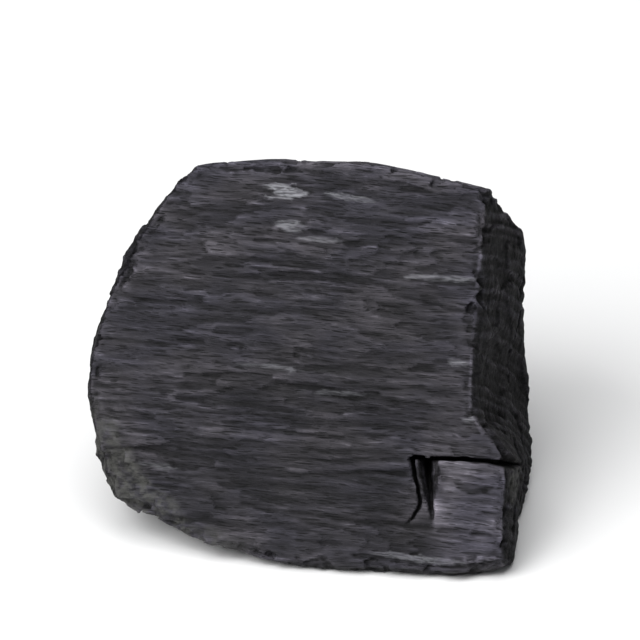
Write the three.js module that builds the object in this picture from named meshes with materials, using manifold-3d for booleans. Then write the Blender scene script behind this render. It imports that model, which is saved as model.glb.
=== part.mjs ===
// A lump of hardwood charcoal: a wedge split from a charred log and broken across the grain at both ends.
// Millimetres, +Z up, +X along the grain, -Y towards the large split face.
// The origin is the middle of the lump's box, on the surface that it lies on.

import * as THREE from "three";
import { mergeVertices } from "three/addons/utils/BufferGeometryUtils.js";
import Module from "manifold-3d";

const wasm = await Module();
wasm.setup();

// Driving dimensions of the lump
const BACK_REACH = 29; // from the origin back to the rear face
const FRONT_REACH = 29; // from the origin forward to the foot of the split face
const SPLIT_SLOPE = THREE.MathUtils.degToRad(58); // the split face leans back this far from level
const SPLIT_HEIGHT = 63.3; // up the slope of the split face, from foot to crest
const SPLIT_CROWN = 1.2; // the middle of the split face stands this far proud of its edges
const LOG_RADIUS = 99; // the log that the wedge was split from
const CREST_SINK = 4.2; // the crest is this much lower 30 mm along from its highest point
const LEDGE = { height: 21, depth: 3.2, slant: 1.5 }; // on the rear face: its level, depth and slant
const RIGHT_END = 25.6; // the cross break that the main face ends at
const CORNER_STEP = 6; // the lower right corner block stands this much further out
const CORNER_HEIGHT = 19.4; // up the slope, where the corner block ends
const CORNER_DEPTH = 24; // how far the corner block runs back from the split face
const LEFT_END = -33.2; // the fullest point of the rounded left break
const LEFT_FULLEST = 28; // up the slope, where the left break is fullest
const LEFT_DRAW = { crest: 8.8, foot: 11.6, rear: 3.6, most: 22 }; // how far in it draws, 28 mm from there
const CRACK = { depth: 9, width: 1 }; // the L-shaped shrinkage crack in the split face
const CHECK_DEPTH = 8; // of the cracks in the end grain

// The blocks that it is cut from and with
const STOCK = 120; // the block that the lump is cut from is this wide
const WASTE = 132; // and so wide is each block that cuts it
const CELL = 3; // spacing of the points that carry the relief
const PROUD = 6; // cracks are cut from this far outside the face

// Relief: the length of its bumps along x, y and z
const RIDGES = { broad: [26, 9, 9], fine: [20, 4.5, 4.5] }; // on a face split along the grain
const BUNDLES = { broad: [14, 13, 11], fine: [9, 5.5, 5] }; // on a break across it

const CHARCOAL = { color: 0x2b2b2e, roughness: 0.62, metalness: 0.0 };

// Directions in the plane of the split face: up its slope, and straight into the wood behind it.
const foot = new THREE.Vector3(0, -FRONT_REACH, 0);
const upSlope = new THREE.Vector3(0, Math.cos(SPLIT_SLOPE), Math.sin(SPLIT_SLOPE));
const intoWood = new THREE.Vector3(0, Math.sin(SPLIT_SLOPE), -Math.cos(SPLIT_SLOPE));

// How far a point lies along the grain, up the split face and behind it.
function placeOnSplit(point) {
  const offset = point.clone().sub(foot);
  return { along: point.x, up: offset.dot(upSlope), behind: offset.dot(intoWood) };
}

// The point at such a place.
function onSplit(along, up, behind) {
  return foot.clone().addScaledVector(upSlope, up).addScaledVector(intoWood, behind).setX(along);
}

// Repeatable noise

function latticeValue(i, j, k) {
  const mixed = Math.sin(i * 127.1 + j * 311.7 + k * 74.7) * 43758.5453;
  return 2 * (mixed - Math.floor(mixed)) - 1;
}

// Smooth noise from -1 to 1, with one bump to each unit of length.
function noise(x, y, z) {
  const [i, j, k] = [Math.floor(x), Math.floor(y), Math.floor(z)];
  const [u, v, w] = [x - i, y - j, z - k].map((f) => f * f * (3 - 2 * f));
  let sum = 0;
  for (let corner = 0; corner < 8; corner++) {
    const [di, dj, dk] = [corner & 1, (corner >> 1) & 1, corner >> 2];
    const weight = (di ? u : 1 - u) * (dj ? v : 1 - v) * (dk ? w : 1 - w);
    sum += weight * latticeValue(i + di, j + dj, k + dk);
  }
  return sum;
}

// From 0 to 1, eased, as the value passes from one number to the other.
function smoothStep(value, from, to) {
  return THREE.MathUtils.smoothstep(value, from, to);
}

function bumps(point, [x, y, z], shift) {
  return noise(point.x / x, point.y / y + shift, point.z / z);
}

// Relief of a face split along the grain: long shallow ridges.
function grainRelief(point, height) {
  return height * (0.65 * bumps(point, RIDGES.broad, 3) + 0.35 * bumps(point, RIDGES.fine, 7));
}

// Relief of a break across the grain: blunt bundles of fibres.
function breakRelief(point, height) {
  return height * (0.6 * bumps(point, BUNDLES.broad, 5) + 0.4 * bumps(point, BUNDLES.fine, 11));
}

// Solids

function solidFrom(geometry) {
  geometry.deleteAttribute("normal");
  geometry.deleteAttribute("uv");
  const welded = mergeVertices(geometry, 1e-4);
  return new wasm.Manifold(
    new wasm.Mesh({
      numProp: 3,
      vertProperties: new Float32Array(welded.attributes.position.array),
      triVerts: new Uint32Array(welded.index.array),
    }),
  );
}

function geometryFrom(solid) {
  const mesh = solid.getMesh();
  const geometry = new THREE.BufferGeometry();
  geometry.setAttribute("position", new THREE.BufferAttribute(mesh.vertProperties, 3));
  geometry.setIndex(new THREE.BufferAttribute(mesh.triVerts, 1));
  return geometry;
}

// The waste outside one face of the lump. Its inner side passes through point and carries the relief,
// which is given in millimetres, outwards, for a place on the flat face.
function waste(point, outward, relief) {
  const cells = Math.round(WASTE / CELL);
  const block = new THREE.BoxGeometry(WASTE, WASTE, WASTE, cells, cells, 1);
  block.translate(0, 0, WASTE / 2);
  const normal = outward.clone().normalize();
  const guide = Math.abs(normal.x) > 0.8 ? new THREE.Vector3(0, 1, 0) : new THREE.Vector3(1, 0, 0);
  const across = new THREE.Vector3().crossVectors(normal, guide).normalize();
  const along = new THREE.Vector3().crossVectors(across, normal);
  block.applyMatrix4(new THREE.Matrix4().makeBasis(along, across, normal).setPosition(point));
  const corners = block.attributes.position;
  const corner = new THREE.Vector3();
  for (let n = 0; n < corners.count; n++) {
    corner.fromBufferAttribute(corners, n);
    if (Math.abs(corner.clone().sub(point).dot(normal)) < 1) {
      corner.addScaledVector(normal, relief(corner));
      corners.setXYZ(n, corner.x, corner.y, corner.z);
    }
  }
  return solidFrom(block);
}

// The large face, split along the grain. It is a little proud in the middle.
function splitFaceWaste() {
  const middle = { along: 2, up: 30 };
  const reach = { along: 32, up: 34 };
  return waste(onSplit(middle.along, middle.up, 0), intoWood.clone().negate(), (point) => {
    const place = placeOnSplit(point);
    const off = ((place.along - middle.along) / reach.along) ** 2 + ((place.up - middle.up) / reach.up) ** 2;
    return SPLIT_CROWN - off + grainRelief(point, 0.7);
  });
}

// The outside of the log, which curves away behind the crest and sinks towards both ends.
function logOutsideWaste() {
  const highest = 5;
  return waste(onSplit(0, SPLIT_HEIGHT, 0), upSlope, (point) => {
    const place = placeOnSplit(point);
    const behind = Math.min(place.behind, 0.9 * LOG_RADIUS);
    const round = LOG_RADIUS - Math.sqrt(LOG_RADIUS ** 2 - behind ** 2);
    const sink = CREST_SINK * ((place.along - highest) / 30) ** 2;
    return -round - sink + grainRelief(point, 1.6);
  });
}

// The rear face, torn along the grain, with one ledge that runs the length of the lump and wanders.
function rearWaste() {
  const lean = new THREE.Vector3(0.06, 1, 0.12);
  return waste(new THREE.Vector3(0, BACK_REACH, 18), lean, (point) => {
    const level = LEDGE.height + 2.5 * noise(point.x / 17, 4, 9);
    const above = smoothStep(point.z, level - LEDGE.slant, level + LEDGE.slant);
    return grainRelief(point, 1.8) - LEDGE.depth * above;
  });
}

// The right end, broken across the grain. The lower front corner stands further out.
function rightEndWaste() {
  const halfWayUp = onSplit(RIGHT_END, 36, 0);
  const lean = new THREE.Vector3(1, -0.16, 0.13);
  return waste(halfWayUp, lean, (point) => {
    const place = placeOnSplit(point);
    const low = 1 - smoothStep(place.up, CORNER_HEIGHT - 1, CORNER_HEIGHT + 8);
    const near = 1 - smoothStep(place.behind, 2, CORNER_DEPTH + 8);
    return CORNER_STEP * low * near + breakRelief(point, 1.1);
  });
}

// The left end, a rounded break that draws in towards the crest, the foot and the rear.
function leftEndWaste() {
  return waste(new THREE.Vector3(LEFT_END, 0, 27), new THREE.Vector3(-1, 0, 0), (point) => {
    const place = placeOnSplit(point);
    const rise = (place.up - LEFT_FULLEST) / 28;
    const drawIn = (rise > 0 ? LEFT_DRAW.crest : LEFT_DRAW.foot) * rise ** 2;
    const rear = LEFT_DRAW.rear * (Math.max(place.behind, 0) / 30) ** 2;
    return -Math.min(drawIn, LEFT_DRAW.most) - rear + breakRelief(point, 1.5);
  });
}

// Broken corners: a point on each, the way it faces, and how rough it is.
function cornerWastes() {
  const corners = [
    { at: onSplit(-20, 5.5, 0), faces: [-0.36, -0.3, -0.87], rough: 0.6 },
    { at: onSplit(-4, 1.7, 0), faces: [-0.14, -0.24, -0.96], rough: 0.4 },
    { at: onSplit(30, 3.4, 0), faces: [0.26, -0.5, -0.81], rough: 0.5 },
    { at: onSplit(12, 2, 0), faces: [0.04, -0.8, -0.6], rough: 0.4 },
    { at: new THREE.Vector3(-24, 17, 36), faces: [-0.62, 0.5, 0.6], rough: 1.4 },
    { at: new THREE.Vector3(-22, 24, 8), faces: [-0.66, 0.7, -0.25], rough: 1.2 },
    { at: new THREE.Vector3(2, 25, 34), faces: [0.16, 0.74, 0.65], rough: 1.5 },
    { at: onSplit(31, 30, 24.5), faces: [0.8, 0.58, -0.15], rough: 1.2 },
    { at: new THREE.Vector3(8, 27, 4), faces: [0.1, 0.8, -0.6], rough: 0.9 },
    { at: onSplit(25.5, 60.5, 0), faces: [0.75, 0.1, 0.65], rough: 0.8 },
  ];
  return corners.map(({ at, faces, rough }) =>
    waste(at, new THREE.Vector3(...faces), (point) => breakRelief(point, rough)),
  );
}

// The flat underside that the lump lies on.
function undersideWaste() {
  return waste(new THREE.Vector3(0, 0, 0), new THREE.Vector3(0, 0, -1), () => 0);
}

// The L-shaped shrinkage crack round the corner block, cut square into the split face. Its outline there is
// given along the grain and up the slope: a narrow slot along the grain, and a wedge down across it.
function cornerCrack() {
  const outline = [
    [17.8, CORNER_HEIGHT],
    [RIGHT_END + CORNER_STEP + PROUD, CORNER_HEIGHT],
    [RIGHT_END + CORNER_STEP + PROUD, CORNER_HEIGHT - CRACK.width],
    [21.4, CORNER_HEIGHT - CRACK.width],
    [21, 9],
    [20.2, 9],
  ];
  const shape = new THREE.Shape(outline.map(([along, up]) => new THREE.Vector2(along, up)));
  const solid = new THREE.ExtrudeGeometry(shape, { depth: CRACK.depth + PROUD, bevelEnabled: false });
  const axes = new THREE.Matrix4().makeBasis(new THREE.Vector3(1, 0, 0), upSlope, intoWood.clone().negate());
  solid.applyMatrix4(axes.setPosition(onSplit(0, 0, CRACK.depth)));
  return solidFrom(solid);
}

// Shrinkage checks in the end grain: narrow wedges that point at the heart of the log. For each: which end it
// is in, its bearing from the heart above level, how far out it starts and stops, and how wide it opens.
function endChecks() {
  const heart = new THREE.Vector2(foot.y, foot.z).addScaledVector(
    new THREE.Vector2(Math.cos(SPLIT_SLOPE), Math.sin(SPLIT_SLOPE)),
    SPLIT_HEIGHT - LOG_RADIUS,
  );
  const checks = [
    { end: 1, bearing: 46, from: 66, to: 92, width: 1.5 },
    { end: 1, bearing: 33, from: 62, to: 84, width: 1.2 },
    { end: -1, bearing: 42, from: 58, to: 88, width: 1.5 },
    { end: -1, bearing: 30, from: 60, to: 78, width: 1.1 },
  ];
  const length = 60;
  const drawnAcross = new THREE.Matrix4().makeBasis(
    new THREE.Vector3(0, 1, 0),
    new THREE.Vector3(0, 0, 1),
    new THREE.Vector3(1, 0, 0),
  );
  return checks.map(({ end, bearing, from, to, width }) => {
    const angle = THREE.MathUtils.degToRad(bearing);
    const ray = new THREE.Vector2(Math.cos(angle), Math.sin(angle));
    const side = new THREE.Vector2(-ray.y, ray.x);
    const at = (radius, offset) => heart.clone().addScaledVector(ray, radius).addScaledVector(side, offset);
    const widest = from + 0.6 * (to - from);
    const outline = [at(from, 0), at(widest, -width / 2), at(to, 0), at(widest, width / 2)];
    const solid = new THREE.ExtrudeGeometry(new THREE.Shape(outline), { depth: length, bevelEnabled: false });
    solid.applyMatrix4(drawnAcross);
    solid.translate(end > 0 ? RIGHT_END - CHECK_DEPTH : LEFT_END + CHECK_DEPTH - length, 0, 0);
    return solidFrom(solid);
  });
}

function lumpSolid() {
  const stock = solidFrom(new THREE.BoxGeometry(STOCK, STOCK, STOCK));
  const cuts = [
    splitFaceWaste(),
    logOutsideWaste(),
    rearWaste(),
    rightEndWaste(),
    leftEndWaste(),
    ...cornerWastes(),
    undersideWaste(),
    cornerCrack(),
    ...endChecks(),
  ];
  return cuts.reduce((solid, cut) => solid.subtract(cut), stock);
}

// The finished lump, moved so that its box is centred over the origin.
function charcoalLump() {
  const geometry = geometryFrom(lumpSolid());
  geometry.computeBoundingBox();
  const middle = geometry.boundingBox.getCenter(new THREE.Vector3());
  geometry.translate(-middle.x, -middle.y, 0);
  const mesh = new THREE.Mesh(geometry, new THREE.MeshStandardMaterial(CHARCOAL));
  mesh.name = "charcoal_lump";
  return mesh;
}

const group = new THREE.Group();
group.add(charcoalLump());

export default group;
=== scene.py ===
"""The looks of a lump of hardwood charcoal: a wedge split from a charred log, broken across at both ends.

The lump is carved, in millimetres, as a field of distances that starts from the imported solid. The field then
becomes one mesh. The material, the floor, the light and the camera follow.
"""

import itertools
import math

import bpy
import numpy as np
import openvdb as vdb
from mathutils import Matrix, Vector


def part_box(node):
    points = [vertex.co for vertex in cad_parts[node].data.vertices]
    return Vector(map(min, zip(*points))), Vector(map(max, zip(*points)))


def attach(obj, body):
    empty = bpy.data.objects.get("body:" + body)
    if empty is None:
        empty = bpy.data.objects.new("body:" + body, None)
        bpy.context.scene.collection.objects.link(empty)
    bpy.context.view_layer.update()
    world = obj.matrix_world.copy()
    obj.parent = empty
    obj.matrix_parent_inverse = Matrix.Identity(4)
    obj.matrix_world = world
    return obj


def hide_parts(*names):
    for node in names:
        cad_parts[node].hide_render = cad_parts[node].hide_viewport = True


NODE = "charcoal_lump"
MM = 0.001

# The log that the wedge was split from, in millimetres
SPLIT_SLOPE = math.radians(58)  # the split face leans back this far from level
FOOT_BEHIND_BOX = 0.4  # the foot of the split face, behind the front of the box
HEART_BELOW_FOOT = 35.7  # from that foot down the slope to the heart of the log
RING = 1.75  # from one growth ring to the next
ARC_RADIUS = 75  # lengths round the rings are measured at this radius

# The corner block and the crack round it, as places along the grain and up the split face
BLOCK_LEFT = 20.3
BLOCK_TOP = 18.9

# The carving
VOXEL = 0.3
MARGIN = 2.4  # empty space round the lump
BAND = 4.8  # distances are true this far into the wood
OUTER_BAND = 2.2  # and this far outside it
SHELL = 1.5  # relief is worked out this near to the surface
CRACK_REACH = 13  # no crack reaches this far in
CHECKS_NARROW_FROM = 31.5  # out along the grain, where the cracks in an end start to close
FILL = 1.0  # cracks up to twice this wide are closed before the relief, and opened again after it
THIN = 0.9  # what stands out by more than this from the wood round it has broken off
MOST_FACES = 190000
CHART_GAP = 1.2  # bare room round each chart of the surface

# The view
VIEW_AZIMUTH = math.radians(9)
VIEW_ELEVATION = math.radians(32)
VIEW_DISTANCE = 2.0
VIEW_WIDTH = 0.098  # what the picture spans at the lump
SENSOR = 36.0

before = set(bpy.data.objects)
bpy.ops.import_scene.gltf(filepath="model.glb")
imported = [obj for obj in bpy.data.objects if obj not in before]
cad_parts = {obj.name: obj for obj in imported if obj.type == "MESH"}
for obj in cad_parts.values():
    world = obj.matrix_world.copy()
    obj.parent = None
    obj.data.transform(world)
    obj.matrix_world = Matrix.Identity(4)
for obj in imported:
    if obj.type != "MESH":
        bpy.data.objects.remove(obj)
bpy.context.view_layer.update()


def smooth_step(value, low, high):
    share = np.clip((value - low) / (high - low), 0, 1)
    return share * share * (3 - 2 * share)


def bump(value, middle, width):
    """1 at the middle, falling to 0 a width away on both sides."""
    return 1 - smooth_step(np.abs(value - middle), 0.35 * width, width)


# Noise. Each kind takes places as three arrays, and its values run from about -1 to 1.

TABLE_SIZE = 1 << 16
KINDS = 7
TABLE = np.random.default_rng(7).uniform(-1, 1, (TABLE_SIZE, KINDS)).astype(np.float32)
FIRST_KIND = np.ascontiguousarray(TABLE[:, 0])


def row_of(i, j, k, seed):
    mixed = (i * 73856093) ^ (j * 19349663) ^ (k * 83492791) ^ (seed * 2654435)
    return (mixed ^ (mixed >> 13)) & (TABLE_SIZE - 1)


def lattice(i, j, k, seed):
    return FIRST_KIND[row_of(i, j, k, seed)]


def whole(value):
    return np.floor(value).astype(np.int32)


def noise(x, y, z, seed):
    """Smooth bumps, one to each unit of length."""
    home = [whole(v) for v in (x, y, z)]
    part = [v - c for v, c in zip((x, y, z), home)]
    shares = [(1 - ease, ease) for ease in (f * f * (3 - 2 * f) for f in part)]
    total = np.zeros(np.shape(x), np.float32)
    for di, dj, dk in itertools.product((0, 1), repeat=3):
        weight = shares[0][di] * shares[1][dj] * shares[2][dk]
        total += weight * lattice(home[0] + di, home[1] + dj, home[2] + dk, seed)
    return total


def ridged(x, y, z, seed):
    """Sharp crests between round hollows."""
    return 1 - 2 * np.abs(noise(x, y, z, seed))


def stairs(value, width=0.3):
    """The value with its slopes gathered into steps."""
    tread = np.floor(value)
    return tread + smooth_step(value - tread, 0.5 - width / 2, 0.5 + width / 2)


def chunks(x, y, z, seed):
    """Angular chunks, one to each unit: the height of the tilted face at a place, and how far its rim is."""
    home = [whole(v - 0.5) for v in (x, y, z)]
    nearest = np.full(x.shape, 9, np.float32)
    second = nearest.copy()
    height = np.zeros(x.shape, np.float32)
    for step in itertools.product((0, 1), repeat=3):
        i, j, k = [h + s for h, s in zip(home, step)]
        draws = TABLE[row_of(i, j, k, seed)]
        gaps = [v - c - 0.5 - 0.36 * draws[:, n] for n, (v, c) in enumerate(zip((x, y, z), (i, j, k)))]
        far = gaps[0] ** 2 + gaps[1] ** 2 + gaps[2] ** 2
        face = draws[:, 3] + sum(gap * draws[:, 4 + n] for n, gap in enumerate(gaps))
        nearer = far < nearest
        second = np.where(nearer, nearest, np.minimum(second, far))
        nearest = np.where(nearer, far, nearest)
        height = np.where(nearer, face, height)
    return height, np.sqrt(second) - np.sqrt(nearest)


# The grid of distances

class Grid:
    """Evenly spaced samples in a box round the lump."""

    def __init__(self, low, high):
        self.low = np.array(low) - MARGIN
        self.shape = tuple(int(n) for n in np.ceil((np.array(high) - low + 2 * MARGIN) / VOXEL) + 1)
        self.transform = vdb.createLinearTransform(voxelSize=VOXEL)

    def distances(self, points, triangles, quads, outside, inside):
        """Signed distance to a closed mesh, negative within it."""
        grid = vdb.FloatGrid.createLevelSetFromPolygons(
            (points - self.low).astype(np.float32),
            triangles,
            quads,
            transform=self.transform,
            exBandWidth=outside / VOXEL,
            inBandWidth=inside / VOXEL,
        )
        field = np.empty(self.shape, np.float32)
        grid.copyToArray(field)
        return field

    def surface(self, field, level=0.0):
        """The points and quads where the field passes a level."""
        grid = vdb.FloatGrid(float(field.max()))
        grid.copyFromArray(field)
        grid.transform = self.transform
        points, _, quads = grid.convertToPolygons(isovalue=level, adaptivity=0)
        return points + self.low, quads

    def places(self, index):
        """The places of samples given by their flat index."""
        spots = np.unravel_index(index, self.shape)
        return [(n * VOXEL + low).astype(np.float32) for n, low in zip(spots, self.low)]

    def front_samples(self, foot_y, depth):
        """The flat index of the samples that lie less than this far behind the split face."""
        _, y, z = np.ogrid[tuple(slice(0, n) for n in self.shape)]
        y, z = y * VOXEL + self.low[1], z * VOXEL + self.low[2]
        behind = (y - foot_y) * math.sin(SPLIT_SLOPE) - z * math.cos(SPLIT_SLOPE)
        in_front_of_face = -2
        chosen = np.broadcast_to((behind > in_front_of_face) & (behind < depth), self.shape)
        return np.flatnonzero(chosen)

    def end_samples(self, end, depth):
        """The flat index of the samples this near to one end of the box."""
        x = np.ogrid[tuple(slice(0, n) for n in self.shape)][0] * VOXEL + self.low[0]
        reach = -self.low[0] - MARGIN
        return np.flatnonzero(np.broadcast_to(end * x > reach - depth, self.shape))

    def read(self, field, points):
        """The field at these points, between the samples."""
        spots = (points - self.low) / VOXEL
        home = np.clip(np.floor(spots).astype(int), 0, np.array(self.shape) - 2)
        part = spots - home
        total = 0
        for corner in itertools.product((0, 1), repeat=3):
            shares = [part[:, n] if side else 1 - part[:, n] for n, side in enumerate(corner)]
            at = tuple((home + corner).T)
            total = total + shares[0] * shares[1] * shares[2] * field[at]
        return total


def softened(field, steps):
    """The field blurred along each axis, with a kernel that widens at each step."""
    for step in steps:
        for axis in range(3):
            ahead = np.roll(field, step, axis)
            behind = np.roll(field, -step, axis)
            field = 0.5 * field + 0.25 * (ahead + behind)
    return field


def rise_of(field, index):
    """The unit direction in which the field rises, at samples given by their flat index."""
    flat = field.ravel()
    strides = (field.shape[1] * field.shape[2], field.shape[2], 1)
    reach = 2
    rise = [flat[index + reach * s] - flat[index - reach * s] for s in strides]
    length = np.sqrt(rise[0] ** 2 + rise[1] ** 2 + rise[2] ** 2) + 1e-6
    return [r / length for r in rise]


def packed_mesh():
    """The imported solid's points, in millimetres, and its triangles."""
    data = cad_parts[NODE].data
    points = np.empty(len(data.vertices) * 3, np.float32)
    data.vertices.foreach_get("co", points)
    data.calc_loop_triangles()
    triangles = np.empty(len(data.loop_triangles) * 3, np.int32)
    data.loop_triangles.foreach_get("vertices", triangles)
    return points.reshape(-1, 3) / MM, triangles.reshape(-1, 3).astype(np.uint32)


# Where a place lies in the wood

class Wood:
    """Places in the lump, measured along the grain, round the rings, and up and behind the split face."""

    def __init__(self, x, y, z, foot_y):
        slope = (math.cos(SPLIT_SLOPE), math.sin(SPLIT_SLOPE))
        self.x, self.y, self.z = x, y, z
        self.up = (y - foot_y) * slope[0] + z * slope[1]
        self.behind = (y - foot_y) * slope[1] - z * slope[0]
        across = y - (foot_y - HEART_BELOW_FOOT * slope[0])
        above = z + HEART_BELOW_FOOT * slope[1]
        self.radius = np.sqrt(across ** 2 + above ** 2)
        self.arc = np.arctan2(above, across) * ARC_RADIUS
        self.out_y = across / self.radius
        self.out_z = above / self.radius

    def picked(self, index):
        """The same places, fewer of them."""
        fewer = object.__new__(Wood)
        for name, value in vars(self).items():
            setattr(fewer, name, value[index])
        return fewer


def ring_number(w):
    """How many rings out from the heart, with rings of uneven width that wander along the grain."""
    broad = 1.2 * noise(w.x / 46, w.y / 30, w.z / 30, 11)
    fine = 0.3 * noise(w.x / 12, w.y / 5, w.z / 5, 12)
    years = w.radius + broad + fine
    uneven = 2.0 * noise(years / 9, 0 * w.x, 0 * w.x, 13) + 0.5 * noise(years / 2.7, 0 * w.x, 0 * w.x, 10)
    return (years + uneven) / RING


def late_wood(ring):
    """From 0 in the soft early wood to 1 at the hard late wood, which ends at an abrupt edge."""
    part = ring - np.floor(ring)
    year = whole(ring)
    strength = 0.6 + 0.4 * lattice(year, 0 * year, 0 * year, 14)
    return strength * smooth_step(part, 0.1, 0.8) * (1 - smooth_step(part, 0.88, 1.0))


def sides_of(w, facing):
    """How far each place belongs to each kind of surface, from 0 to 1."""
    fx, fy, fz = facing
    toward_front = fz * math.cos(SPLIT_SLOPE) - fy * math.sin(SPLIT_SLOPE)
    outward = fy * w.out_y + fz * w.out_z
    end = smooth_step(np.abs(fx), 0.48, 0.72)
    split = smooth_step(toward_front, 0.84, 0.95) * (1 - end)
    outside = smooth_step(outward, 0.78, 0.93) * smooth_step(w.radius, 91, 95) * (1 - end) * (1 - split)
    under = smooth_step(-fz, 0.9, 0.98) * (1 - smooth_step(w.z, 1.0, 2.5))
    torn = np.clip(1 - end - split - outside - under, 0, 1)
    return {"end": end, "split": split, "outside": outside, "under": under, "torn": torn}


# Marks that this lump has on and round its split face: 0 away from a mark, and about 1 in the middle of it

def flake(w, along, up, length, width, seed):
    """A sliver that stands off the face: pointed and ragged at both ends."""
    still = 0 * w.x
    drift = w.up + 0.35 * noise(w.x / 7, w.up / 3, still, seed)
    thread = lattice(whole(drift / 0.45), whole(still), whole(still), seed)
    ragged = 0.35 * noise(w.x / 1.1, drift / 0.45, still, seed + 100)
    reach = ((w.x - along - 0.4 * length * thread) / length) ** 2 + ((drift - up) / width) ** 2
    return 1 - smooth_step(reach + ragged, 0.5, 0.9)


def flakes(w):
    """The slivers of this face. Each is its place along and up the face, its half sizes and its paleness."""
    spots = [
        (-5.4, 57.4, 3.2, 1.2, 1.0),
        (3.6, 57.2, 4.8, 0.6, 0.5),
        (-3.8, 52.1, 2.6, 1.1, 0.62),
        (1.0, 50.3, 3.6, 0.45, 0.4),
        (20.0, 46.4, 6.5, 0.45, 0.5),
        (22.6, 33.6, 1.8, 0.6, 0.5),
        (-5.0, 30.6, 6.0, 0.4, 0.3),
        (5.5, 27.4, 5.0, 0.45, 0.3),
        (26.4, 25.2, 1.5, 0.6, 0.5),
        (20.0, 3.6, 8.5, 0.55, 0.45),
        (-21.0, 14.0, 3.0, 0.4, 0.3),
    ]
    total = 0 * w.x
    for number, (along, up, length, width, pale) in enumerate(spots):
        total = np.maximum(total, pale * flake(w, along, up, length, width, 70 + number))
    return total


def corner_block(w):
    """The block in the lower right corner, set apart by the crack. Below the crack its left edge is soft."""
    lean = 0.12 * (BLOCK_TOP - w.up)
    wander = 0.4 * noise(w.x / 4, w.up / 4, w.behind / 4, 81)
    soft = 0.3 + 4 * (1 - smooth_step(w.up, 5, 9.5))
    right_of = smooth_step(w.x - BLOCK_LEFT - lean + wander, -soft, soft)
    below = smooth_step(BLOCK_TOP - w.up + wander, -0.3, 0.3)
    return right_of * below


def block_scar(w):
    """A small curved scar on the corner block."""
    scar_middle = (27.4, 17.2)
    from_middle = np.hypot(w.x - scar_middle[0], 1.2 * (w.up - scar_middle[1]))
    from_middle = from_middle + 0.3 * noise(w.x / 1.8, w.up / 1.2, w.behind, 83)
    return bump(from_middle, 3.3, 0.8) * smooth_step(scar_middle[1] - w.up, 1.4, 2.6)


def block_pallor(w):
    """How pale the corner block is: cloudy, and darker in its scar and just under the crack."""
    broad = 0.3 * noise(w.x / 3.2, w.up / 1.7, w.behind, 82)
    fine = 0.15 * noise(w.x / 1.2, w.up / 0.8, w.behind, 87)
    cloud = 0.85 + broad + fine
    return corner_block(w) * cloud * (1 - 0.6 * block_scar(w)) * (1 - 0.5 * bump(w.up, BLOCK_TOP, 2.2))


def crumbly_corner(w):
    """Where the upper right corner of the block has crumbled, round the edge of the right end."""
    wander = 1.2 * noise(w.x / 2, w.up / 1.5, w.behind / 2.5, 84)
    band = smooth_step(w.up + wander - 0.12 * w.behind, 12.6, 14.6) * (1 - smooth_step(w.up, 18.0, 19.0))
    return band * smooth_step(w.x, 32.0, 33.0) * (1 - smooth_step(w.behind + wander, 8, 15))


def crumbly_rim(w):
    """The broken edge round the lower left of the face."""
    middle, half_size = (-6, 32), (27, 31)
    from_middle = np.hypot((w.x - middle[0]) / half_size[0], (w.up - middle[1]) / half_size[1])
    from_middle = from_middle + 0.05 * noise(w.x / 3, w.up / 3, w.behind / 3, 85)
    lower_left = smooth_step(-w.x, 4, 16) * (1 - smooth_step(w.up, 15, 27))
    return smooth_step(from_middle, 0.86, 0.95) * lower_left


# Relief of each kind of surface, in millimetres outwards

def split_relief(w):
    still = 0 * w.x
    broad = 0.3 * noise(w.x / 19, w.y / 11, w.z / 11, 21) + 0.12 * noise(w.x / 7, w.y / 4, w.z / 4, 20)
    strips, _ = chunks(w.x / 17, w.up / 1.9, w.behind / 1.9, 22)
    tears = 0.17 * strips * smooth_step(noise(w.x / 21, w.up / 9, still, 23), -0.5, 0.4)
    ragged = 0.35 * noise(w.x / 3.6, w.up / 0.8, still, 25)
    plates = 0.27 * stairs(2.4 * noise(w.x / 26, w.up / 5, still, 24) + ragged, 0.16)
    rings = 0.14 * late_wood(ring_number(w)) * smooth_step(noise(w.x / 14, w.up / 3.5, still, 26), -0.7, 0.5)
    fibres = 0.08 * noise(w.x / 5.5, w.up / 0.75, w.behind / 0.75, 27)
    furrow = smooth_step(noise(w.x / 6, w.up / 0.8, still, 28), 0.5, 0.75)
    raised = 0.3 * flakes(w)
    block = 0.5 * corner_block(w) * smooth_step(w.up, 0, 16) - 0.28 * block_scar(w)
    crumbs, _ = chunks(w.x / 1.9, w.up / 1.3, w.behind / 1.3, 29)
    crumble = 0.3 * crumbs * crumbly_rim(w)
    return broad + tears + plates + rings + fibres - 0.22 * furrow + raised + block + crumble


def end_relief(w):
    ring = ring_number(w)
    bend = 0.5 * noise(w.x / 5, w.y / 4, w.z / 4, 30)
    blocks, _ = chunks(w.x / 24, w.arc / 8.5 + bend, ring / 3.1 + bend, 31)
    steps, rim = chunks(w.x / 16, w.arc / 3.1, ring / 1.2, 32)
    fine_grit = 0.1 * noise(w.x / 0.9, w.y / 0.7, w.z / 0.7, 33)
    grit = fine_grit + 0.14 * noise(w.x / 2.4, w.y / 2.1, w.z / 2.1, 34)
    rays = smooth_step(noise(w.x / 9, w.arc / 0.75, w.radius / 8, 35), 0.45, 0.8)
    joints = 1 - smooth_step(rim, 0.02, 0.1)
    ringed = 0.3 * late_wood(ring) * smooth_step(noise(w.x / 9, w.y / 9, w.z / 9, 36), -0.8, 0.3)
    return 0.42 * blocks + 0.12 * steps + ringed + grit - 0.16 * rays - 0.1 * joints


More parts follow.
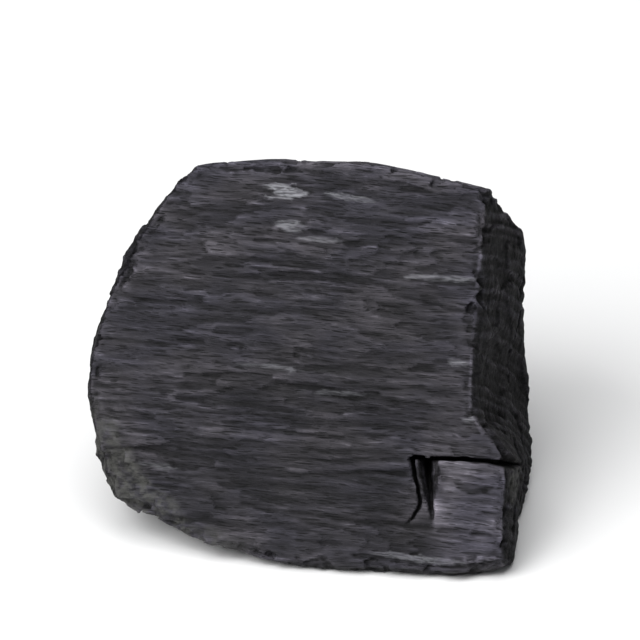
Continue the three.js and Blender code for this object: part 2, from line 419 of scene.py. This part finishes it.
def outside_relief(w):
    """Long plates between furrows, each checked across at its own places."""
    still = 0 * w.x
    row_place = w.arc / 3.9 + 0.45 * noise(w.x / 11, w.arc / 7, still, 41)
    row = whole(row_place)
    row_part = row_place - row
    shift = 4 * lattice(row, 0 * row, 0 * row, 42)
    check_place = w.x / 11 + shift + 0.12 * noise(w.arc / 1.1, w.x / 6, still, 43)
    check = whole(check_place)
    check_part = check_place - check
    furrow = 1 - smooth_step(np.minimum(row_part, 1 - row_part), 0.0, 0.15)
    gap = 1 - smooth_step(np.minimum(check_part, 1 - check_part), 0.0, 0.035)
    depth = 0.5 + 0.4 * noise(w.x / 14, w.arc / 5, still, 44)
    lift = 0.2 * lattice(row, check, 0 * row, 45)
    strands = 0.22 * ridged(w.x / 16, w.arc / 1.4, w.radius / 5, 46)
    fibres = strands + 0.1 * noise(w.x / 7, w.arc / 0.7, w.radius / 2, 47)
    return lift + fibres - depth * np.maximum(furrow, 0.8 * gap)


def torn_relief(w):
    slabs, _ = chunks(w.x / 26, w.y / 5.5, w.z / 5.5, 51)
    splinters, _ = chunks(w.x / 15, w.y / 1.7, w.z / 1.7, 52)
    ridges = 0.22 * ridged(w.x / 20, w.y / 1.9, w.z / 1.9, 53)
    fibres = 0.09 * noise(w.x / 7, w.y / 0.75, w.z / 0.75, 54)
    broken = 0.2 * noise(w.x / 3.5, w.y / 1.4, w.z / 1.4, 55)
    return 0.2 + np.clip(0.6 * slabs + 0.32 * splinters + ridges + fibres + broken, -0.9, 0.9)


def lump_relief(w, sides):
    makers = {"split": split_relief, "end": end_relief, "outside": outside_relief, "torn": torn_relief}
    total = 0 * w.x
    for name, maker in makers.items():
        worn = np.flatnonzero(sides[name] > 0)
        total[worn] += maker(w.picked(worn)) * sides[name][worn]
    return total


def edge_chips(w, sides, convex):
    """How deep the sharp edges are chipped away."""
    edge = smooth_step(convex, 0.15, 0.6) * (1 - sides["under"])
    bites, _ = chunks(w.x / 3.6, w.y / 2.6, w.z / 2.6, 61)
    crumbs, _ = chunks(w.x / 1.3, w.y / 1.0, w.z / 1.0, 62)
    calm = smooth_step(noise(w.x / 12, w.y / 12, w.z / 12, 63), -0.5, 0.5)
    return edge * np.clip(0.08 + (0.2 + 0.45 * calm) * bites + 0.16 * crumbs, 0, 0.9)


# Cracks. Each is a field of distances that is positive in the open crack.

def held(width):
    """The half width of a crack, shut where it is too narrow for the grid to hold."""
    return np.where(width < 0.55 * VOXEL, -1, width)


def corner_crack(w):
    """The crack that sets the corner block apart: along its top, and down its left side as a wedge."""
    left_end = 17.0
    length_down = 9.0
    fine_jag = 0.2 * noise(w.x / 1.6, w.up / 0.9, w.behind / 2, 91)
    jag = fine_jag + 0.25 * noise(w.x / 6, w.up / 4, w.behind / 4, 92)
    along_width = 0.3 + 0.25 * smooth_step(w.x, 28, 33) - 0.03 * w.behind
    along = held(along_width) - np.abs(w.up - BLOCK_TOP - jag)
    along = np.minimum(along, w.x - left_end)
    fall = np.clip((BLOCK_TOP - w.up) / length_down, 0, 1)
    open_width = 0.62 * (1 - fall) ** 1.5 + 0.28 * (1 - fall ** 6)
    right_edge = 20.4 + 0.09 * (BLOCK_TOP - w.up)
    middle = right_edge - open_width
    across = held(open_width - 0.2 * w.behind) - np.abs(w.x - middle - jag)
    top, foot = BLOCK_TOP + 0.3, BLOCK_TOP - length_down - 0.3
    across = np.minimum(across, np.minimum(top - w.up, w.up - foot))
    return np.maximum(along, across)


def side_crack(w):
    """The fine crack that runs down beside the corner crack and bends away from its foot."""
    still = 0 * w.x
    start, bends_at, length_down = 17.2, 6, 12
    fine = 0.15 * noise(w.up / 0.8, w.behind, still, 96)
    wander = 0.35 * noise(w.up / 2.6, w.behind / 4, still, 95) + fine
    fall = BLOCK_TOP - w.up
    middle = start + 0.33 * fall - 0.176 * np.maximum(fall - bends_at, 0) ** 2
    width = 0.24 * (1 - (np.clip(fall, 0, length_down) / length_down) ** 3) - 0.1 * w.behind
    return np.minimum(held(width) - np.abs(w.x - middle - wander), fall)


def end_checks(w, end):
    """Narrow ragged cracks in the end grain that point at the heart of the log. They close as they go in.

    Each is its bearing from the heart in degrees, how far out its middle is, and its half length and width.
    """
    checks = {
        1: [(45, 79, 15, 0.5), (33, 71, 12, 0.42), (52, 66, 9, 0.3), (39, 90, 6, 0.3), (57, 84, 8, 0.34)],
        -1: [(42, 72, 16, 0.5), (30, 70, 11, 0.42), (50, 80, 8, 0.34), (36, 90, 6, 0.3), (56, 70, 8, 0.3)],
    }
    total = np.full(w.x.shape, -1, np.float32)
    for number, (bearing, middle, reach, width) in enumerate(checks[end]):
        aside = w.arc - math.radians(bearing) * ARC_RADIUS
        near = np.flatnonzero((np.abs(aside) < 2) & (np.abs(w.radius - middle) < reach))
        x, radius, still = w.x[near], w.radius[near], 0 * near
        seed = 120 + 10 * end + 2 * number
        fine = 0.3 * noise(radius / 1.3, x / 2, still, seed + 1)
        wander = 0.9 * noise(radius / 6, x / 9, still, seed) + fine
        taper = 1 - ((radius - middle) / reach) ** 2
        inward = np.maximum(CHECKS_NARROW_FROM - end * x, 0)
        half_width = held(width * taper - 0.035 * inward)
        total[near] = np.maximum(total[near], half_width - np.abs(aside[near] - wander))
    return total


def plug(w):
    """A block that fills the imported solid's corner crack level with the split face: negative within it."""
    middle, half_size, skin, depth = (20, 14.2), (4, 6.4), 0.3, 12
    along = np.abs(w.x - middle[0]) - half_size[0]
    up = np.abs(w.up - middle[1]) - half_size[1]
    return np.maximum(np.maximum(along, up), np.maximum(-skin - w.behind, w.behind - depth))


def carve():
    """The lump as a field of distances, with the grid it is on and what the material needs to know of it."""
    points, triangles = packed_mesh()
    low, high = points.min(0), points.max(0)
    grid = Grid(low, high)
    foot_y = low[1] + FOOT_BEHIND_BOX

    solid = grid.distances(points, triangles, None, OUTER_BAND, BAND)
    swollen, swollen_quads = grid.surface(solid, FILL)
    filled = grid.distances(swollen, None, swollen_quads, OUTER_BAND, BAND + FILL) + FILL
    front = grid.front_samples(foot_y, CRACK_REACH)
    near_front = Wood(*grid.places(front), foot_y)
    body = filled.copy()
    body.ravel()[front] = np.minimum(body.ravel()[front], plug(near_front))
    body = softened(body, (1, 2))
    broad = softened(body, (2, 4, 6))

    shell = np.flatnonzero(np.abs(body.ravel()) < SHELL)
    rise = rise_of(body, shell)
    above = body.ravel()[shell]
    beneath = [place - above * part for place, part in zip(grid.places(shell), rise)]
    wood = Wood(*beneath, foot_y)
    sides = sides_of(wood, rise)
    convex = broad.ravel()[shell] - above
    carved = body.copy()
    relief = lump_relief(wood, sides)
    relief = np.where(relief > 0, relief * (1 - smooth_step(convex, 0.1, 0.6)), relief)
    room = np.where(wood.x > 0, high[0] - wood.x, wood.x - low[0])
    relief = np.where(sides["end"] > 0, np.minimum(relief, np.maximum(room, 0)), relief)
    carved.ravel()[shell] -= relief - edge_chips(wood, sides, convex)
    carved = np.maximum(carved, softened(carved, (2, 4, 6)) - THIN)

    opened = np.maximum(corner_crack(near_front), side_crack(near_front))
    carved.ravel()[front] = np.maximum(carved.ravel()[front], opened)
    for end in (-1, 1):
        near = grid.end_samples(end, CRACK_REACH)
        opened = end_checks(Wood(*grid.places(near), foot_y), end)
        carved.ravel()[near] = np.maximum(carved.ravel()[near], opened)

    height = (np.arange(grid.shape[2]) * VOXEL + grid.low[2]).astype(np.float32)
    return grid, np.maximum(carved, -height[None, None, :]), body, foot_y


def largest_part(points, quads):
    """The mesh without what has come loose from it."""
    label = np.arange(len(points))
    pairs = np.concatenate([quads[:, [0, 1]], quads[:, [1, 2]], quads[:, [2, 3]]]).astype(np.int64)
    while True:
        first, second = label[pairs[:, 0]], label[pairs[:, 1]]
        apart = first != second
        if not apart.any():
            break
        least = np.minimum(first[apart], second[apart])
        np.minimum.at(label, first[apart], least)
        np.minimum.at(label, second[apart], least)
        while (label[label] != label).any():
            label = label[label]
    kept = label == np.bincount(label).argmax()
    renumber = np.cumsum(kept) - 1
    return points[kept], renumber[quads[kept[quads[:, 0]]]]


def mesh_from(name, points, faces):
    mesh = bpy.data.meshes.new(name)
    width = faces.shape[1]
    mesh.vertices.add(len(points))
    mesh.vertices.foreach_set("co", points.astype(np.float32).ravel())
    mesh.loops.add(faces.size)
    mesh.loops.foreach_set("vertex_index", faces.astype(np.int32).ravel())
    mesh.polygons.add(len(faces))
    mesh.polygons.foreach_set("loop_start", np.arange(0, faces.size, width, dtype=np.int32))
    mesh.update(calc_edges=True)
    return mesh


def thinned(piece, most):
    """The piece's mesh, with its flattest places drawn in fewer faces."""
    thin = piece.modifiers.new("thin", "DECIMATE")
    thin.ratio = min(1.0, most / (2 * len(piece.data.polygons)))
    shown = piece.evaluated_get(bpy.context.evaluated_depsgraph_get())
    mesh = bpy.data.meshes.new_from_object(shown)
    piece.modifiers.clear()
    return mesh


def note(mesh, name, values):
    """Keeps a value for each point, for the material to read."""
    layer = mesh.attributes.new(name, "FLOAT", "POINT")
    layer.data.foreach_set("value", np.clip(values, 0, 1).astype(np.float32))


def shelved(sizes, width):
    """Where boxes go when they are set on shelves of this width, tallest first, and how high they reach."""
    corners = [(0, 0)] * len(sizes)
    left = bottom = tallest = 0
    for number in sorted(range(len(sizes)), key=lambda n: -sizes[n][1]):
        wide, tall = sizes[number]
        if left + wide > width:
            left, bottom, tallest = 0, bottom + tallest, 0
        corners[number] = (left, bottom)
        left += wide
        tallest = max(tallest, tall)
    return corners, bottom + tallest


def charts(mesh, places, facing):
    """Lays the surface out flat, without a seam across any one side of the lump."""
    grain, depth = (1, 0, 0), (0, 1, 0)
    # For each chart, the way that its part of the surface faces, and the way that runs across the chart
    sides = [
        ((0, -math.sin(SPLIT_SLOPE), math.cos(SPLIT_SLOPE)), grain),
        ((0, 0.66, 0.75), grain),
        ((0, 1, 0), grain),
        ((0, 0, -1), grain),
        ((1, 0, 0), depth),
        ((-1, 0, 0), depth),
    ]
    vertex = np.empty(len(mesh.loops), np.int32)
    mesh.loops.foreach_get("vertex_index", vertex)
    corners_of_face = np.empty(len(mesh.polygons), np.int32)
    mesh.polygons.foreach_get("loop_total", corners_of_face)
    face = np.repeat(np.arange(len(corners_of_face)), corners_of_face)
    turned = np.stack([np.bincount(face, facing[vertex, axis]) for axis in range(3)], axis=1)
    chart = np.argmax(turned @ np.array([out for out, _ in sides]).T, axis=1)[face]

    flat = np.empty((len(vertex), 2))
    sizes = []
    for number, (out, across) in enumerate(sides):
        mine = chart == number
        seen = places[vertex[mine]] @ np.stack([across, np.cross(out, across)], axis=1)
        flat[mine] = seen - seen.min(0) + CHART_GAP
        sizes.append(flat[mine].max(0) + CHART_GAP)
    widths = range(70, 300)
    width = min(widths, key=lambda width: max(width, shelved(sizes, width)[1]))
    corners, height = shelved(sizes, width)
    flat += np.array(corners)[chart]
    layer = mesh.uv_layers.new(name="OFBake")
    layer.uv.foreach_set("vector", (flat / max(width, height)).astype(np.float32).ravel())


def lump():
    """The finished piece, and how far in front of and below the frame's origin the heart of its log is."""
    grid, carved, body, foot_y = carve()
    points, quads = largest_part(*grid.surface(carved))
    piece = bpy.data.objects.new("lump", mesh_from("lump", points * MM, quads))
    bpy.context.scene.collection.objects.link(piece)
    full = piece.data
    piece.data = thinned(piece, MOST_FACES)
    bpy.data.meshes.remove(full)
    mesh = piece.data
    mesh.polygons.foreach_set("use_smooth", np.ones(len(mesh.polygons), bool))

    places = np.empty(len(mesh.vertices) * 3, np.float32)
    mesh.vertices.foreach_get("co", places)
    places = places.reshape(-1, 3) / MM
    wood = Wood(*places.T.astype(np.float32), foot_y)
    soft = softened(carved, (1, 2))
    softer = softened(soft, (4, 6))
    facing = [grid.read(part, places) for part in np.gradient(body)]
    length = np.sqrt(sum(part ** 2 for part in facing)) + 1e-6
    sides = sides_of(wood, [part / length for part in facing])
    note(mesh, "end_grain", sides["end"])
    note(mesh, "torn", np.maximum(sides["torn"], sides["outside"]))
    # A place that stands out from the wood round it has more than 0.5 here, and one in a hollow has less
    note(mesh, "crest", 0.5 + grid.read(soft, places) / 0.5)
    note(mesh, "proud", 0.5 + grid.read(softer, places) / 1.6)
    note(mesh, "depth", -grid.read(body, places) / 3)
    note(mesh, "flake", flakes(wood) * sides["split"])
    note(mesh, "block", block_pallor(wood) * sides["split"])
    note(mesh, "crumble", np.maximum(crumbly_rim(wood), 1.6 * crumbly_corner(wood)))
    note(mesh, "late", late_wood(ring_number(wood)))
    charts(mesh, places, np.stack(facing, axis=1))
    in_front = HEART_BELOW_FOOT * math.cos(SPLIT_SLOPE) - foot_y
    return piece, (in_front, HEART_BELOW_FOOT * math.sin(SPLIT_SLOPE))


# Material

class Nodes:
    """Adds nodes to a material, one line each."""

    def __init__(self, material):
        material.use_nodes = True
        self.tree = material.node_tree
        self.shader = self.tree.nodes["Principled BSDF"]

    def put(self, socket, value):
        if isinstance(value, bpy.types.NodeSocket):
            self.tree.links.new(value, socket)
        else:
            socket.default_value = value

    def add(self, kind, inputs, output=0, **settings):
        node = self.tree.nodes.new(kind)
        for name, value in settings.items():
            setattr(node, name, value)
        for name, value in inputs.items():
            self.put(node.inputs[name], value)
        return node.outputs[output]

    def sum(self, a, b):
        return self.add("ShaderNodeMath", {0: a, 1: b}, operation="ADD")

    def product(self, a, b):
        return self.add("ShaderNodeMath", {0: a, 1: b}, operation="MULTIPLY")

    def ramp(self, value, low, high, start=0.0, end=1.0):
        """The value from low to high, eased, as start to end."""
        inputs = {"Value": value, "From Min": low, "From Max": high, "To Min": start, "To Max": end}
        return self.add("ShaderNodeMapRange", inputs, interpolation_type="SMOOTHSTEP")

    def stretched(self, place, scale):
        return self.add("ShaderNodeVectorMath", {0: place, 1: scale}, operation="MULTIPLY")

    def noise(self, place, scale, detail=2.0, roughness=0.5):
        finer = {"Detail": detail, "Roughness": roughness}
        inputs = {"Vector": self.stretched(place, scale), "Scale": 1.0, **finer}
        return self.add("ShaderNodeTexNoise", inputs)

    def cells(self, place, scale):
        return self.add("ShaderNodeTexVoronoi", {"Vector": self.stretched(place, scale), "Scale": 1.0})

    def mix(self, share, a, b):
        """From one color to another. The node's color sockets come after those for other kinds of value."""
        return self.add("ShaderNodeMix", {0: share, 6: a, 7: b}, output=2, data_type="RGBA")

    def between(self, share, start, end):
        return self.add("ShaderNodeMix", {0: share, 2: start, 3: end}, data_type="FLOAT")

    def noted(self, name):
        return self.add("ShaderNodeAttribute", {}, output=2, attribute_name=name)


def charcoal(heart):
    """Charred wood, with the heart of its log this far in front of and below the origin, in millimetres."""
    material = bpy.data.materials.new("charcoal")
    n = Nodes(material)
    place = n.stretched(n.add("ShaderNodeTexCoord", {}, output="Object"), (1 / MM,) * 3)
    slow = {"Vector": n.stretched(place, (0.07, 0.3, 0.3)), "Scale": 1.0, "Detail": 1.0}
    wander = n.add("ShaderNodeTexNoise", slow, output=1)
    bent = n.add("ShaderNodeVectorMath", {0: wander, 1: (0.0, 1.6, 1.6), 2: place}, operation="MULTIPLY_ADD")
    x, y, z = [n.add("ShaderNodeSeparateXYZ", {"Vector": bent}, output=axis) for axis in range(3)]
    across = n.sum(y, heart[0])
    above = n.sum(z, heart[1])
    arc = n.product(n.add("ShaderNodeMath", {0: above, 1: across}, operation="ARCTAN2"), ARC_RADIUS)
    yz = n.add("ShaderNodeCombineXYZ", {"X": across, "Y": above})
    radius = n.add("ShaderNodeVectorMath", {0: yz}, output=1, operation="LENGTH")
    round_heart = n.add("ShaderNodeCombineXYZ", {"X": x, "Y": arc, "Z": radius})

    end = n.noted("end_grain")
    torn = n.noted("torn")
    crest = n.noted("crest")
    proud = n.noted("proud")
    depth = n.noted("depth")
    flake_share = n.noted("flake")
    block = n.noted("block")

    threads = n.noise(bent, (0.17, 1.8, 1.8), detail=5.0, roughness=0.75)
    streaks = n.noise(bent, (0.09, 0.5, 0.5), detail=2.5)
    patches = n.noise(place, (0.09, 0.15, 0.15), detail=3.0)
    pores = n.ramp(n.cells(bent, (0.14, 2.1, 2.1)), 0.16, 0.28, 1.0, 0.0)
    nicks = n.ramp(n.cells(bent, (0.34, 3.4, 3.4)), 0.2, 0.3, 1.0, 0.0)
    # Painted highlights: thin bright glints where the threads stand highest
    painted_glints = n.ramp(threads, 0.58, 0.66)
    specks = n.noise(place, (1.9, 1.9, 1.9), detail=2.0)
    late = n.noted("late")
    rings = n.sum(n.product(n.noise(round_heart, (0.04, 0.1, 1.3), detail=3.0), 0.6), n.product(late, 0.4))
    rays = n.noise(round_heart, (0.04, 1.6, 0.1), detail=2.0)

    tone = n.product(n.ramp(threads, 0.25, 0.75, 0.45, 1.5), n.ramp(streaks, 0.3, 0.7, 0.68, 1.42))
    # Painted highlights: the glints make the colour up to half as bright again
    tone = n.product(tone, n.ramp(painted_glints, 0.0, 1.0, 1.0, 1.5))
    tone = n.product(tone, n.ramp(patches, 0.3, 0.7, 0.7, 1.32))
    tone = n.product(tone, n.ramp(pores, 0.0, 1.0, 1.0, 0.3))
    tone = n.product(tone, n.ramp(nicks, 0.0, 1.0, 1.0, 0.35))
    # Painted highlight and painted shade: lighter on crests and bumps, darker in hollows, and darkest deep in
    # cracks
    tone = n.product(tone, n.ramp(crest, 0.2, 0.9, 0.4, 1.7))
    tone = n.product(tone, n.ramp(proud, 0.2, 0.8, 0.7, 1.25))
    tone = n.product(tone, n.ramp(depth, 0.2, 0.8, 1.0, 0.2))
    # Painted light: the colour grows lighter towards the top of the lump
    tone = n.product(tone, n.ramp(z, 2.0, 46.0, 0.78, 1.16))
    tone = n.product(tone, n.ramp(x, -34.0, -16.0, 0.84, 1.0))
    # Painted shade: a dark band along the foot stands in for the contact shadow where the lump meets the floor
    tone = n.product(tone, n.ramp(z, 1.2, 3.3, 0.12, 1.0))
    # The end grain is darker than the split face and shows its rings and rays; part of that darkness is
    # painted shade on the ends
    end_tone = n.product(n.ramp(rings, 0.25, 0.65, 0.06, 0.47), n.ramp(rays, 0.35, 0.65, 0.7, 1.3))
    tone = n.product(tone, n.between(end, 1.0, end_tone))
    tone = n.product(tone, n.ramp(block, 0.0, 1.0, 1.0, 3.0))

    black = n.mix(n.ramp(patches, 0.35, 0.65), (0.0258, 0.0244, 0.0322, 1), (0.0280, 0.0259, 0.0302, 1))
    shade = n.add("ShaderNodeVectorMath", {0: black, 3: tone}, operation="SCALE")
    # The slivers are painted pale: partly ash on them, partly a painted highlight where they catch the light
    flake_dust_and_highlight = n.product(flake_share, n.ramp(n.noise(bent, (0.5, 3.1, 3.1)), 0.36, 0.6, 0.25, 1.0))
    color = n.mix(flake_dust_and_highlight, shade, (0.26, 0.262, 0.284, 1))
    grains = n.noise(place, (0.62, 0.62, 0.62), detail=3.0, roughness=0.6)
    crumbs = n.product(n.noted("crumble"), n.ramp(grains, 0.36, 0.62, 0.08, 1.0))
    color = n.mix(n.product(crumbs, 0.78), color, (0.079, 0.079, 0.073, 1))
    n.put(n.shader.inputs["Base Color"], color)

    rough = n.ramp(threads, 0.25, 0.75, 0.64, 0.46)
    rough = n.sum(rough, n.ramp(end, 0.0, 1.0, 0.0, 0.3))
    rough = n.sum(rough, n.ramp(torn, 0.0, 1.0, 0.0, 0.08))
    rough = n.sum(rough, n.ramp(crest, 0.45, 0.9, 0.06, -0.1))
    n.put(n.shader.inputs["Roughness"], rough)
    n.put(n.shader.inputs["Specular IOR Level"], 0.24)

    height = n.product(n.ramp(threads, 0.2, 0.8, 0.0, 1.0), 0.18)
    height = n.sum(height, n.product(pores, -0.12))
    height = n.sum(height, n.product(nicks, -0.07))
    end_height = n.sum(n.product(specks, 0.14), n.sum(n.product(rings, 0.9), n.product(rays, 0.35)))
    height = n.sum(height, n.product(end_height, end))
    relief = n.add("ShaderNodeBump", {"Height": height, "Distance": MM, "Strength": 1.0})
    n.put(n.shader.inputs["Normal"], relief)
    return material


def paint(piece, material):
    piece.data.materials.clear()
    piece.data.materials.append(material)


# Floor, light and camera

def floor():
    size = 6.0
    corners = np.array([(-size, -size, 0), (size, -size, 0), (size, size, 0), (-size, size, 0)])
    ground = bpy.data.objects.new("floor", mesh_from("floor", corners, np.array([[0, 1, 2, 3]])))
    bpy.context.scene.collection.objects.link(ground)
    material = bpy.data.materials.new("floor")
    n = Nodes(material)
    n.put(n.shader.inputs["Base Color"], (0.82, 0.82, 0.82, 1))
    n.put(n.shader.inputs["Roughness"], 0.9)
    n.put(n.shader.inputs["Specular IOR Level"], 0.1)
    paint(ground, material)


def aim(thing, azimuth, elevation, distance, target):
    away = Vector((
        math.sin(azimuth) * math.cos(elevation),
        -math.cos(azimuth) * math.cos(elevation),
        math.sin(elevation),
    ))
    thing.location = target + away * distance
    thing.rotation_euler = away.to_track_quat("Z", "Y").to_euler()


def soft_light(name, azimuth, elevation, distance, size, power, target):
    """A square lamp, at angles about the lump that are given as the camera's are."""
    data = bpy.data.lights.new(name, "AREA")
    data.size = size
    data.energy = power
    lamp = bpy.data.objects.new(name, data)
    bpy.context.scene.collection.objects.link(lamp)
    aim(lamp, math.radians(azimuth), math.radians(elevation), distance, target)


def sky():
    world = bpy.data.worlds.new("studio")
    world.use_nodes = True
    back = world.node_tree.nodes["Background"]
    back.inputs["Color"].default_value = (0.95, 0.97, 1.0, 1)
    back.inputs["Strength"].default_value = 0.22
    bpy.context.scene.world = world


def camera(target):
    data = bpy.data.cameras.new("camera")
    data.sensor_width = SENSOR
    data.lens = SENSOR * VIEW_DISTANCE / VIEW_WIDTH
    data.clip_end = 50
    eye = bpy.data.objects.new("camera", data)
    bpy.context.scene.collection.objects.link(eye)
    aim(eye, VIEW_AZIMUTH, VIEW_ELEVATION, VIEW_DISTANCE, target)
    bpy.context.scene.camera = eye


low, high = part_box(NODE)
middle = (low + high) / 2

piece, heart = lump()
paint(piece, charcoal(heart))
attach(piece, "root")
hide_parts(NODE)

floor()
soft_light("key", azimuth=-46, elevation=44, distance=1.0, size=0.7, power=9.5, target=middle)
soft_light("top", azimuth=-10, elevation=84, distance=1.3, size=1.1, power=13, target=middle)
sky()
camera(middle)

bpy.context.scene.view_settings.view_transform = "Standard"
